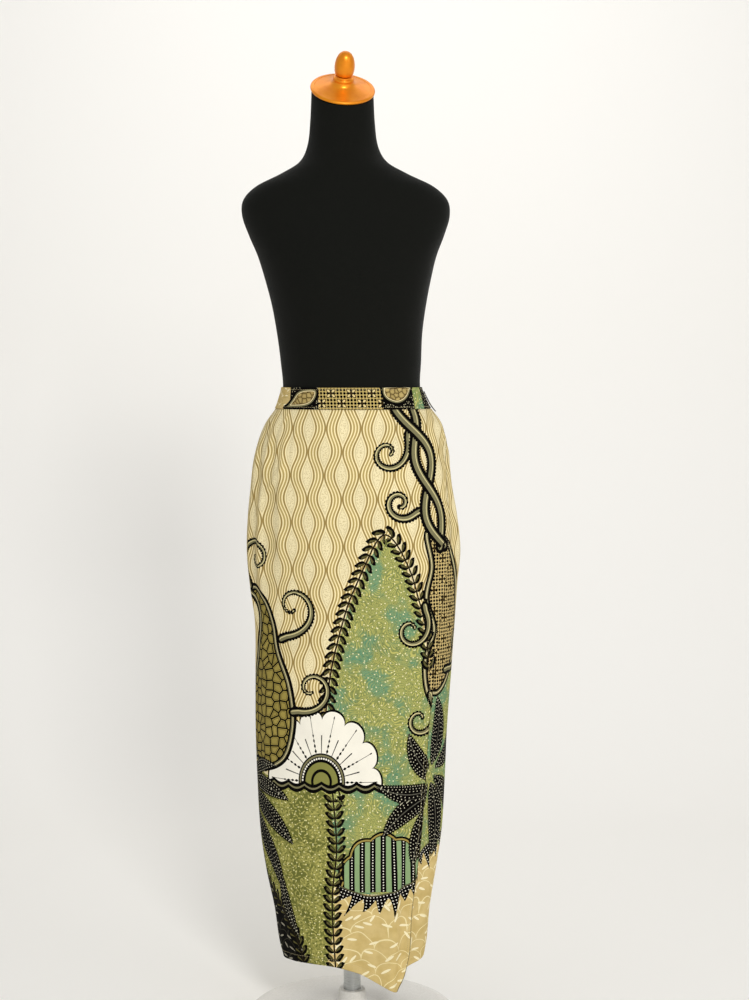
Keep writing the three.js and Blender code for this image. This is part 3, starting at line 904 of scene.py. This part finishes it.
# feathery sprays of short dashes along wavering stems, thinning out over patches of the ground;
# real dashes are about 3 mm apart, too fine to show, so they are drawn coarser
def sprayGround(add, cloth, ground, shade, sprig, dot, pitch=15.0):
    bend = add("TexNoise", cloth, out="Color", Scale=0.018, Detail=1.0, noise_dimensions="2D")
    along, up, _ = axes(add, add("VectorMath multiply_add", bend, (120, 150, 0), cloth))
    side = add("absolute", add("wrap", up, pitch / 2, -pitch / 2))
    run = add("wrap", add("multiply_add", side, 0.85, along), 2.7, -2.7)
    dash = add("multiply", stripe(add, run, -1.15, 1.15), stripe(add, side, 0.7, 0.42 * pitch))
    mottle = add("TexNoise", cloth, Scale=0.022, Detail=2.0, noise_dimensions="2D")
    thick = add("MapRange", mottle, 0.40, 0.54, 0.35, 1.0)
    aside = elsewhere(add, cloth)
    return layDyes(add, ground, [
        (add("MapRange", mottle, 0.36, 0.54, 0.0, 0.9), shade),
        (add("multiply", grains(add, aside, 5.6, 4.6, 1.6), 0.35), "oliveDark"),
        (add("multiply", dash, thick), sprig), (grains(add, aside, 9.0, 2.3, 1.9), dot)])


# curved cell lines like overlapping leaves, with short brush strokes between them
def brushedGround(add, cloth, size, ground, line, stroke, dark):
    bend = add("TexNoise", cloth, out="Color", Scale=0.6 / size, Detail=1.0, noise_dimensions="2D")
    s, z, _ = axes(add, add("VectorMath multiply_add", bend, (0.9 * size, 0.9 * size, 0), cloth))
    row = add("floor", add("divide", z, size / 2))
    x = add("wrap", add("multiply_add", row, size / 2, s), size / 2, -size / 2)
    far = distance(add, x, add("multiply", add("floored_modulo", z, size / 2), 1.1))
    mottle = add("TexNoise", cloth, Scale=0.05, Detail=3.0, noise_dimensions="2D")
    return layDyes(add, ground, [
        (add("multiply", add("MapRange", mottle, 0.35, 0.7), 0.6), dark),
        (stripe(add, far, 0.49 * size, 0.525 * size), line),
        (grains(add, cloth, 0.5 * size, 0.34 * size, 0.085 * size, 3.0), stroke)])


# rounded pebbles with dark joints
def pebbledGround(add, cloth, size, joint, low, high):
    cells = {"voronoi_dimensions": "2D", "Scale": 1 / size, "Randomness": 0.75}
    edge = add("TexVoronoi", cloth, feature="DISTANCE_TO_EDGE", **cells)
    chance = add("TexVoronoi", cloth, out="Color", **cells)
    return layDyes(add, joint, [(add("greater_than", edge, 0.085), add("MixRGB", chance, low, high)),
                                (stripe(add, edge, 0.17, 0.21), "brown")])


# four-petalled flowers and clusters of dots, in turn
def flowerGround(add, s, z, pitch, ground, line, petal):
    turn = add("add", *(add("round", add("divide", c, pitch)) for c in (s, z)))
    flower = add("less_than", add("floored_modulo", turn, 2.0), 0.5)
    x, y = (add("wrap", c, pitch / 2, -pitch / 2) for c in (s, z))
    toDot = distance(add, *(add("wrap", c, pitch / 6, -pitch / 6) for c in (x, y)))
    dots = add("multiply", add("less_than", toDot, 0.13 * pitch), add("subtract", 1.0, flower))
    p, q = (add("absolute", add("multiply", add(way, x, y), math.sqrt(0.5))) for way in ("add", "subtract"))
    far = add("minimum", *(within(add, add("subtract", run, 0.33 * pitch), side, 0.5 * pitch, 0.3 * pitch)
                           for run, side in ((p, q), (q, p))))
    wide, tall = add("absolute", x), add("absolute", y)
    less, more = add("minimum", wide, tall), add("maximum", wide, tall)
    spots = add("less_than", distance(add, add("subtract", more, 0.32 * pitch), less), 0.12 * pitch)
    return layDyes(add, ground, [(dots, "black"), *onlyWhere(add, flower, [
        (add("less_than", less, 0.045 * pitch), line), (stripe(add, far, 0.0, 1.15), line),
        (stripe(add, far, 0.0, 0.7), petal), (spots, "black")])])


# a field with its edge lines: each is its limits inside the outline, and its dye
def edged(add, inside, ground, lines=()):
    return [(add("greater_than", inside, 0.0), ground)] + [
        (stripe(add, inside, low, high), dye) for low, high, dye in lines]


garland = {"pitch": 13.8, "first": 0.3, "length": 15.5, "width": 11.5, "sweep": 0.7}


# pairs of swept-back leaves along a stem, each half lit
def leafPairs(add, across, along, near):
    out = add("absolute", across)
    run = add("multiply_add", out, garland["sweep"], along)
    local = add("wrap", run, garland["pitch"] / 2, -garland["pitch"] / 2)
    share = add("MapRange", out, garland["first"], garland["first"] + garland["length"])
    bulge = add("multiply", share, add("subtract", 1.0, share))
    inside = add("multiply_add", bulge, 2 * garland["width"], add("multiply", add("absolute", local), -1.0))
    lit = add("multiply", add("greater_than", inside, 1.7), add("less_than", local, 0.2))
    return onlyWhere(add, add("less_than", near, garland["length"] + 2.0), [
        (add("greater_than", inside, 0.2), "black"),
        (add("multiply", lit, add("less_than", share, 0.62)), "moss"),
        (stripe(add, across, -1.3, 1.3), "#231C0F")])


# dark saw-edged leaves with a grey midrib and three rows of dots inside their outline
def darkLeaves(add, inside, across, along):
    saw = add("wrap", add("multiply_add", add("absolute", across), -0.7, along), 2.6, -2.6)
    body = add("greater_than", add("multiply_add", saw, 0.45, inside), 0.0)
    return [(body, "black"), (add("multiply", body, stripe(add, across, -0.8, 0.8)), "grey")] + [
        (dotRow(add, along, inside, at, pitch, 0.85), "#C8C3A9")
        for at, pitch in ((3.2, 5.0), (7.4, 6.2), (11.6, 7.0))]


fringe = {"pitch": 19.0, "length": 34.0}


# hanging pointed spikes of uneven length, with rows of dots and a line above them
def fringeSpikes(add, across, along, near):
    pitch = fringe["pitch"]
    close = add("multiply", add("less_than", near, 50.0), add("greater_than", along, 0.5))
    run = add("multiply_add", across, -0.3, along)
    side = add("divide", add("absolute", add("wrap", run, pitch / 2, -pitch / 2)), pitch / 2)
    tall = add("multiply_add", add("sine", add("multiply", run, 0.21)), 0.3, 0.75)
    reach = add("multiply", add("power", add("subtract", 1.0, side), 1.4), fringe["length"])
    down = add("multiply", across, -1.0)
    below = add("subtract", add("multiply_add", reach, tall, 5.0), down)
    body = add("greater_than", add("minimum", below, add("add", down, 4.0)), 0.0)
    dots = add("multiply", dotRow(add, along, add("wrap", down, 2.6, -2.6), 0.0, 5.2, 0.95), body)
    return onlyWhere(add, close, [(body, "black"), (dots, "white"), (stripe(add, across, 2.2, 3.2), "khaki")])


# a strand with scalloped black edges, a grey-olive band and a fine pale line
def strandDyes(add, across, along, near, wide):
    edge = add("subtract", near, add("multiply_add", add("absolute", ripples(add, along, 10.0)), 1.7, wide))
    core = add("less_than", add("subtract", near, add("multiply", wide, 0.5)), 0.0)
    aside = add("subtract", across, add("multiply", wide, 0.24))
    return [(add("less_than", edge, 0.0), "black"), (core, "khaki"),
            (add("multiply", core, stripe(add, aside, -0.8, 0.8)), "#D2C691")]


# a tendril is a strand that thins towards its curl
def tendrilStroke(add, across, along, near):
    wide = add("maximum", add("multiply_add", along, -0.033, 7.4), 2.0)
    return strandDyes(add, across, along, near, wide)


# the angle round a motif's middle, and how far out it is as a share of the motif's size
def inMotif(add, x, z, motif):
    u, v = add("divide", x, motif["halfWidth"]), add("divide", z, motif["height"])
    return add("arctan2", u, v), distance(add, u, v)


lotus = {"halfWidth": 100, "height": 122, "count": 7, "scallop": 56, "scallopDepth": 6.0}


# half a rosette of round-ended petals, with stems, beads and a pearled heart
def lotusRosette(add, x, z):
    angle, far = inMotif(add, x, z, lotus)
    turn = add("multiply", angle, lotus["count"] / math.pi)
    side = add("absolute", add("wrap", add("add", turn, 0.5), 0.5, -0.5))
    scallop = add("absolute", ripples(add, x, lotus["scallop"]))
    low = add("add", z, add("multiply", scallop, lotus["scallopDepth"]))
    dome = add("sqrt", add("subtract", 1.0, add("power", add("multiply", side, 1.98), 2.0)))
    inside = add("subtract", add("multiply_add", dome, 0.15, 0.80), far)
    girth = add("multiply", side, far)
    stem = add("multiply", add("less_than", girth, 0.008), stripe(add, far, 0.62, 0.88))
    knob = add("less_than", within(add, girth, add("subtract", far, 0.87), 0.04, 0.045), 1.0)
    bead = add("pingpong", add("subtract", far, 0.38), 0.035)
    swell = add("multiply", bead, add("MapRange", far, 0.38, 0.72, 1.35, 0.55))
    beads = add("multiply", add("greater_than", swell, girth), stripe(add, far, 0.38, 0.66))
    parting = add("multiply", add("greater_than", side, 0.47), stripe(add, far, 0.36, 0.62))
    pearls = dotRow(add, add("multiply", turn, 12.0), add("multiply", far, 100), 31, 3.4, 1.3)
    petals = onlyWhere(add, add("greater_than", low, 0.5), [
        (add("greater_than", inside, -0.03), "black"), (add("greater_than", inside, 0.0), "white"),
        (add("maximum", add("maximum", stem, knob), add("maximum", beads, parting)), "black"),
        (add("less_than", far, 0.38), "black"), (stripe(add, far, 0.335, 0.36), "khaki"),
        (pearls, "white"), (add("less_than", far, 0.26), "olive"), (stripe(add, far, 0.13, 0.17), "black")])
    # a scalloped double hem under the petals
    foot = add("less_than", add("absolute", x), lotus["halfWidth"] * 0.97)
    return petals + onlyWhere(add, foot, [
        (stripe(add, low, -13.0, 1.0), "black"), (stripe(add, low, -7.4, -4.4), "khaki")])


shell = {"halfWidth": 74, "height": 84, "stripe": 16.5}


# a lobed shell with upright stripes and rows of dots between them
def stripedShell(add, x, z):
    angle, far = inMotif(add, x, z, shell)
    lobes = add("absolute", add("cosine", add("multiply", angle, 5.0)))
    inside = add("subtract", add("multiply_add", lobes, 0.08, 0.88), far)
    side = add("wrap", x, shell["stripe"] / 2, -shell["stripe"] / 2)
    deep = add("greater_than", inside, 0.05)
    return onlyWhere(add, add("greater_than", z, -16.0), [
        (add("greater_than", inside, -0.04), "black"), (add("greater_than", inside, 0.0), "#A08C4A"),
        (add("greater_than", inside, 0.035), "black"), (deep, "green"),
        *onlyWhere(add, deep, [
            (stripe(add, side, -4.4, 4.4), "black"), (dotRow(add, z, side, 0.0, 4.6, 1.0), "white")])])


# the cloth's own flat coordinates, in millimetres
def flatCloth(add):
    cloth = add("VectorMath scale", add("UVMap", uv_map="cloth"), Scale=1000.0)
    return cloth, *axes(add, cloth)[:2]


# places on a solid piece, in millimetres
def solidPlaces(add):
    return add("VectorMath scale", add("TexCoord", out="Object"), Scale=1000.0)


cotton = {"thread": 1.3, "weaveHeight": 0.35, "bump": 0.0005}


# dyed cotton: the print, a little uneven, on a matt plain weave; threads are drawn about four times as
# coarse as they are, because the true ones are too fine to show
def dyedCotton(add, setShader, cloth, s, z, printed):
    uneven = add("TexNoise", cloth, Scale=0.02, Detail=4.0, noise_dimensions="2D")
    fine = add("TexNoise", cloth, Scale=1.1, Detail=2.0, noise_dimensions="2D")
    shade = add("multiply_add", uneven, 0.22, add("multiply_add", fine, 0.16, 0.83))
    warp, weft = ripples(add, s, cotton["thread"]), ripples(add, z, cotton["thread"])
    weave = add("multiply_add", warp, 0.5, add("multiply", weft, 0.5))
    height = add("multiply_add", weave, cotton["weaveHeight"], fine)
    grey = add("CombineColor", shade, shade, shade)
    return setShader({
        "Base Color": add("MixRGB", 1.0, printed, grey, blend_type="MULTIPLY"),
        "Normal": add("Bump", Strength=0.35, Distance=cotton["bump"], Height=height, out="Normal"),
        "Roughness": 0.82, "Sheen Weight": 0.01, "Sheen Roughness": 0.45, "Specular IOR Level": 0.04,
    })


def batikCotton():
    add, setShader = newMaterial("wax-resist batik cotton")
    read = partial(readField, add)
    cloth, s, z = flatCloth(add)
    green, olive, beige = read("grounds")
    night, paisley, check = read("bodies")
    left, right, vine = read("vineLeft"), read("vineRight"), printPlan["vine"]
    leftStrand = strandDyes(add, *left, vine["width"])
    # the vine's strands take turns to lie on top
    leftOver = add("greater_than", ripples(add, left[1], vine["crossing"]), 0.0)
    # painted shadow: a thin dark line over the last 1.2 mm of the upper front at its free edge, standing in
    # for the shade of the folded edge
    paintedEdgeShadow = add("multiply", add("less_than", read("edge")[0], 1.2), 0.75)
    return dyedCotton(add, setShader, cloth, s, z, layDyes(add, latticeGround(add, s, z), [
        *edged(add, olive, speckledGround(add, cloth, "#918F4C", "#6B6E36", "#B5AE62", "#E8E2A6")),
        *edged(add, beige, brushedGround(add, cloth, 46, "beige", "#EBDBA6", "stroke", "#BFA563")),
        *edged(add, green, sprayGround(add, cloth, "teal", "gold", "sprig", "dot")),
        *edged(add, check, flowerGround(add, s, z, 17.0, "sand", "#33260F", "sand"),
               [(-10.5, -7.2, "black"), (-7.2, -2.2, "khaki"), (-5.2, -4.2, "pale"), (-2.2, 1.8, "black")]),
        *edged(add, night, brushedGround(add, cloth, 34, "black", "#3B392F", "#9A9685", "#12100C"),
               [(-0.9, 0.0, "khaki")]),
        *stripedShell(add, *read("shell")[:2]),
        *fringeSpikes(add, *read("fringe")),
        *leafPairs(add, *read("garland")),
        *lotusRosette(add, *read("lotus")[:2]),
        *edged(add, paisley, pebbledGround(add, cloth, 15, "black", "#8E8040", "#A8974F"),
               [(-1.6, 3.2, "black"), (3.2, 7.6, "khaki"), (4.6, 5.3, "pale"), (7.6, 10.4, "black")]),
        *tendrilStroke(add, *read("tendril")),
        *darkLeaves(add, *read("leaf")),
        *leftStrand, *strandDyes(add, *right, vine["width"]), *onlyWhere(add, leftOver, leftStrand),
        # the painted shadow line at the free edge, in dark brown
        (paintedEdgeShadow, "#3F3519"),
    ]))


# the band is cut across the print, so that its parts follow each other round the waist
def bandCotton():
    add, setShader = newMaterial("batik cotton of the waistband")
    cloth, s, z = flatCloth(add)
    paisley, bud, _ = readField(add, "paisley")
    plain = brushedGround(add, cloth, 24, "beige", "tan", "stroke", "#BFA563")
    dotted = layDyes(add, "black", [(grains(add, cloth, 4.6, 1.7, 1.5), "#B9B391")])
    greenPart = sprayGround(add, cloth, "teal", "#8C9A58", "sprig", "dot")
    fill = pebbledGround(add, cloth, 8, "brown", "#A8935A", "#C2AC6E")
    edging = [(-1.6, 2.4, "black"), (2.4, 4.6, "khaki"), (4.6, 5.6, "pale"), (5.6, 6.4, "brown")]
    raised = add("subtract", z, skirt["waistTop"] - 9.0)
    flowers = flowerGround(add, s, raised, 16.2, "#BDA766", "#2E2210", "#DCC88C")
    return dyedCotton(add, setShader, cloth, s, z, layDyes(add, flowers, [
        (stripe(add, s, -400, -108), plain), (stripe(add, s, -108, -54), dotted),
        (stripe(add, s, 50, 400), dotted), (stripe(add, s, 108, 132), greenPart),
        *edged(add, paisley, fill, edging), *edged(add, bud, fill, edging),
    ]))


# cotton jersey over padding: deep matt black with fine upright ribs, drawn coarser than the real knit
def blackJersey():
    add, setShader = newMaterial("black cotton jersey")
    knit = add("TexWave", flatCloth(add)[0], Scale=0.32, Distortion=0.6, Detail=1.0, wave_type="BANDS",
               bands_direction="X")
    fuzz = add("TexNoise", solidPlaces(add), Scale=0.9, Detail=3.0)
    height = add("multiply_add", knit, 0.5, fuzz)
    return setShader({
        "Base Color": add("MixRGB", add("MapRange", fuzz, 0.3, 0.7), "#0A0B08", "#131410"),
        "Normal": add("Bump", Strength=0.3, Distance=0.0006, Height=height, out="Normal"),
        "Roughness": 0.9, "Sheen Weight": 0.05, "Sheen Roughness": 0.4, "Specular IOR Level": 0.12,
    })


# turned hardwood under a metallic gold lacquer: satin and warm, faintly clouded, with fine flecks
def goldLacquer():
    add, setShader = newMaterial("gold lacquered wood")
    place = solidPlaces(add)
    cloud = add("TexNoise", place, Scale=0.06, Detail=3.0)
    flecks = add("TexNoise", place, Scale=2.4, Detail=1.0)
    return setShader({
        "Base Color": add("MixRGB", add("MapRange", cloud, 0.3, 0.7), "#EC8908", "#F79A16"),
        "Normal": add("Bump", Strength=0.12, Distance=0.0004, Height=flecks, out="Normal"),
        "Metallic": 0.6, "Roughness": 0.36, "Coat Weight": 0.08, "Coat Roughness": 0.22,
    })


# drawn steel tube, brushed round: grey with soft long highlights
def brushedSteel():
    add, setShader = newMaterial("brushed steel")
    place = add("Mapping", add("TexCoord", out="Object"), Scale=(60.0, 60.0, 2400.0))
    grain = add("TexNoise", place, Scale=1.0, Detail=3.0)
    return setShader({
        "Base Color": add("MixRGB", add("MapRange", grain, 0.35, 0.65), "#A9ABAA", "#C9CBC9"),
        "Roughness": add("MapRange", grain, 0.3, 0.7, 0.26, 0.4), "Metallic": 1.0,
    })


# stove enamel on sheet steel: pale, smooth, faintly orange-peeled
def paleEnamel():
    add, setShader = newMaterial("pale enamelled steel")
    peel = add("TexNoise", solidPlaces(add), Scale=0.35, Detail=2.0)
    return setShader({
        "Base Color": add("MixRGB", add("MapRange", peel, 0.4, 0.6), "#DEDBD3", "#E6E3DC"),
        "Normal": add("Bump", Strength=0.06, Distance=0.0006, Height=peel, out="Normal"),
        "Roughness": 0.32, "Coat Weight": 0.3,
    })


# spun cotton thread, twisted: cream and matt, with a fine slant across each stitch
def stitchThread():
    add, setShader = newMaterial("cream sewing thread")
    twist = add("TexWave", solidPlaces(add), Scale=0.9, Distortion=1.5, wave_type="BANDS",
                bands_direction="DIAGONAL")
    return setShader({"Base Color": add("MixRGB", twist, "#C9B887", "#E2D3A6"), "Roughness": 0.8})


# each material with its slot in the record, its pieces and the solid that each piece replaces
madeOf = [
    (batikCotton(), "batik_cotton", {"upperFront": "skirt_upper_front", "underFront": "skirt_under_front",
                                     "backPanel": "skirt_back"}),
    (bandCotton(), "batik_cotton", {"waistband": "waistband", "tieEnd": "tie_end"}),
    (stitchThread(), "batik_cotton", {"bandStitches": None, "upperStitches": None, "underStitches": None,
                                      "backStitches": None}),
    (blackJersey(), "black_jersey", {"torso": "form_torso"}),
    (goldLacquer(), "gold_lacquered_wood", {"cap": "form_cap", "knob": "form_knob"}),
    (brushedSteel(), "brushed_pole_steel", {"flange": "form_flange", "pole": "form_pole"}),
    (paleEnamel(), "pale_enamel_steel", {"base": "form_base"}),
]
everyPiece = panels | pieces
for material, slot, standsFor in madeOf:
    for name, node in standsFor.items():
        everyPiece[name].data.materials.append(material)
        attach(everyPiece[name], "root")
        if node:
            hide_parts(node)
print("materials made")


# the flat cut that a panel shows, from its own flat coordinates
def flatCut(piece):
    mesh = piece.data
    flat = np.empty(2 * len(mesh.loops), np.float32)
    mesh.uv_layers["cloth"].uv.foreach_get("vector", flat)
    flat = flat.reshape(-1, 2)
    corners = [flat[list(face.loop_indices)] for face in mesh.polygons]
    area = sum(abs(np.sum(c[:, 0] * np.roll(c[:, 1], -1) - np.roll(c[:, 0], -1) * c[:, 1])) / 2
               for c in corners)
    return tuple(float(size) for size in np.ptp(flat, axis=0)), float(area)


for name, piece in panels.items():
    size, area = flatCut(piece)
    print(name, "flat", [round(x, 3) for x in size], "area", round(area, 4))

studio = {
    "backdrop": "#FAF8F3", "bend": 1.2, "back": 2.4, "front": -5.0, "height": 5.0, "halfWidth": 6.0,
    # the eye stands level with the waist and looks a little down; the shift frames the hem
    "eye": (0.037, -3.0, 1.08), "tilt": 0.5, "shift": -0.1214, "frameHeight": 1.65, "world": 0.5,
    # position, aim, size, power: one nearly frontal, one low from the right, one for the paper behind
    "lights": [((0.9, -3.7, 2.4), (0, 0, 0.8), 0.8, 78), ((2.8, -2.2, 1.4), (0, 0, 0.7), 1.6, 8),
               ((0, 0.7, 2.6), (0, 2.4, 1.1), 1.6, 13)],
}


# a sheet of paper that lies on the floor and curves up behind
def backdrop():
    bend, back, front = studio["bend"], studio["back"], studio["front"]
    turn = np.radians(np.linspace(0, 90, 24))
    curve = zip(back - bend + bend * np.sin(turn), bend - bend * np.cos(turn))
    side = [(front, 0), *curve, (back, studio["height"])]
    bm = bmesh.new()
    bmesh.ops.create_grid(bm, x_segments=1, y_segments=len(side) - 1, size=1)
    for vert in bm.verts:
        y, z = side[round((vert.co.y + 1) / 2 * (len(side) - 1))]
        vert.co = (vert.co.x * studio["halfWidth"], y, z)
    smoothFaces(bm)
    piece = newPiece("backdrop", bm)
    add, setShader = newMaterial("pale paper")
    tone = add("TexNoise", add("TexCoord", out="Object"), Scale=900.0)
    paper = setShader({
        "Base Color": add("MixRGB", add("MapRange", tone, 0.4, 0.6), studio["backdrop"], "#FBF9F5"),
        "Roughness": 0.95, "Specular IOR Level": 0.1,
    })
    # the paper's back lets the eye through, so that the paper hides nothing in a view from behind
    nodes = paper.node_tree.nodes
    oneSided = add("MixShader", add("NewGeometry", out="Backfacing"), nodes["Principled BSDF"].outputs[0],
                   add("BsdfTransparent"))
    setSocket(paper.node_tree, nodes["Material Output"].inputs["Surface"], oneSided)
    piece.data.materials.append(paper)
    return piece


backdrop()
scene.world = bpy.data.worlds.new("soft room")
scene.world.use_nodes = True
sky = scene.world.node_tree.nodes["Background"].inputs
sky["Color"].default_value = (1, 1, 1, 1)
sky["Strength"].default_value = studio["world"]
for k, (place, aim, size, power) in enumerate(studio["lights"]):
    lamp = bpy.data.lights.new(f"softbox{k}", "AREA")
    lamp.shape, lamp.size, lamp.energy = "SQUARE", size, power
    softbox = bpy.data.objects.new(lamp.name, lamp)
    softbox.location = place
    softbox.rotation_euler = (Vector(aim) - Vector(place)).to_track_quat("-Z", "Y").to_euler()
    scene.collection.objects.link(softbox)

camera = bpy.data.objects.new("camera", bpy.data.cameras.new("camera"))
camera.location = studio["eye"]
camera.rotation_euler = (math.radians(90 - studio["tilt"]), 0, 0)
camera.data.lens = camera.data.sensor_width * -studio["eye"][1] / studio["frameHeight"]
camera.data.shift_y = studio["shift"]
scene.collection.objects.link(camera)
scene.camera = camera
print("studio set")
